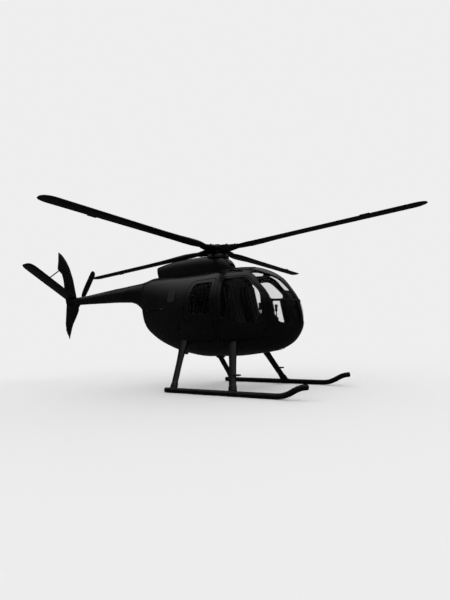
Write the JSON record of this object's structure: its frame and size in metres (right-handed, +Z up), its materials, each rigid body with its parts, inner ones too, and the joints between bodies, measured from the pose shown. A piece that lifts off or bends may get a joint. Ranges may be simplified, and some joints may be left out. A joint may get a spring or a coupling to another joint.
{
  "type": "helicopter",
  "caption": "Light black helicopter with an egg-shaped glazed cabin, slim tail boom, V-shaped tail surfaces, skid landing gear, turning rotors and opening doors.",
  "frame": {"origin": "on the ground under the middle of the bounding box", "axes": "+X to the nose, +Y to port, +Z up"},
  "size_m": [9.599, 8.0292, 3.5866],
  "materials": {
    "black_paint": "gloss",
    "boom_paint": "gloss",
    "fin_paint": "gloss",
    "dark_metal": "satin",
    "engine_grey": "satin",
    "bare_metal": "satin",
    "rotor_composite": "satin",
    "trim_composite": "matte",
    "black_fabric": "matte",
    "tinted_glass": "polished",
    "clear_lens": "polished",
    "red_lens": "gloss"
  },
  "bodies": {
    "airframe": {"belly_beacon": "red_lens", "cabin_floor": "dark_metal", "cargo_hook_plate": "dark_metal", "chin_window_left": "tinted_glass", "chin_window_right": "tinted_glass", "cyclic_stick_left": "trim_composite", "cyclic_stick_right": "trim_composite", "engine_block": "engine_grey", "exhaust_pipe": "bare_metal", "front_seat_left": "black_fabric", "front_seat_right": "black_fabric", "front_strut_left": "black_paint", "front_strut_right": "black_paint", "instrument_console": "trim_composite", "landing_light": "clear_lens", "lower_fin": "fin_paint", "mast": "dark_metal", "mast_fairing": "fin_paint", "middle_bulkhead": "trim_composite", "pod_shell": "black_paint", "rear_bench": "black_fabric", "rear_bulkhead": "trim_composite", "rear_strut_left": "black_paint", "rear_strut_right": "black_paint", "roof_window_left": "tinted_glass", "roof_window_right": "tinted_glass", "skid_left": "black_paint", "skid_right": "black_paint", "stabilizer": "fin_paint", "stabilizer_brace": "dark_metal", "tail_boom": "boom_paint", "tail_gearbox": "engine_grey", "upper_fin": "fin_paint", "windscreen_left": "tinted_glass", "windscreen_right": "tinted_glass"},
    "main_rotor": {"swashplate": "dark_metal", "main_rotor_hub": "dark_metal", "main_blade_1": "rotor_composite", "main_blade_2": "rotor_composite", "main_blade_3": "rotor_composite", "main_blade_4": "rotor_composite"},
    "tail_rotor": {"tail_rotor_hub": "dark_metal", "tail_blade_a": "rotor_composite", "tail_blade_b": "rotor_composite"},
    "front_door_left": {"front_door_left": "black_paint", "front_window_left": "tinted_glass"},
    "rear_door_left": {"rear_door_left": "black_paint", "rear_window_left": "tinted_glass"},
    "engine_door_left": {"engine_door_left": "black_paint"},
    "front_door_right": {"front_door_right": "black_paint", "front_window_right": "tinted_glass"},
    "rear_door_right": {"rear_door_right": "black_paint", "rear_window_right": "tinted_glass"},
    "engine_door_right": {"engine_door_right": "black_paint"}
  },
  "joints": [
    {"name": "main_rotor_spin", "type": "hinge", "parent": "airframe", "child": "main_rotor", "pos_m": [0.7884, 0, 2.831], "axis": [-0.0454, 0.0157, 0.9988], "continuous": true},
    {"name": "tail_rotor_spin", "type": "hinge", "parent": "airframe", "child": "tail_rotor", "pos_m": [-4.1516, 0.28, 2.115], "axis": [0, 1, 0], "continuous": true},
    {"name": "front_door_left_hinge", "type": "hinge", "parent": "airframe", "child": "front_door_left", "pos_m": [2.2004, 0.502, 1.5], "axis": [0, 0, -1], "range_deg": [0, 75]},
    {"name": "rear_door_left_hinge", "type": "hinge", "parent": "airframe", "child": "rear_door_left", "pos_m": [1.1084, 0.702, 1.5], "axis": [0, 0, -1], "range_deg": [0, 75]},
    {"name": "engine_door_left_hinge", "type": "hinge", "parent": "airframe", "child": "engine_door_left", "pos_m": [-0.6416, 0.4285, 1.635], "axis": [0.9722, 0.234, 0], "range_deg": [0, 70]},
    {"name": "front_door_right_hinge", "type": "hinge", "parent": "airframe", "child": "front_door_right", "pos_m": [2.2004, -0.502, 1.5], "axis": [0, 0, 1], "range_deg": [0, 75]},
    {"name": "rear_door_right_hinge", "type": "hinge", "parent": "airframe", "child": "rear_door_right", "pos_m": [1.1084, -0.702, 1.5], "axis": [0, 0, 1], "range_deg": [0, 75]},
    {"name": "engine_door_right_hinge", "type": "hinge", "parent": "airframe", "child": "engine_door_right", "pos_m": [-0.6416, -0.4285, 1.635], "axis": [-0.9722, 0.234, 0], "range_deg": [0, 70]}
  ],
  "couplings": [
    {"joint": "tail_rotor_spin", "follows": "main_rotor_spin", "ratio": 6.4}
  ]
}
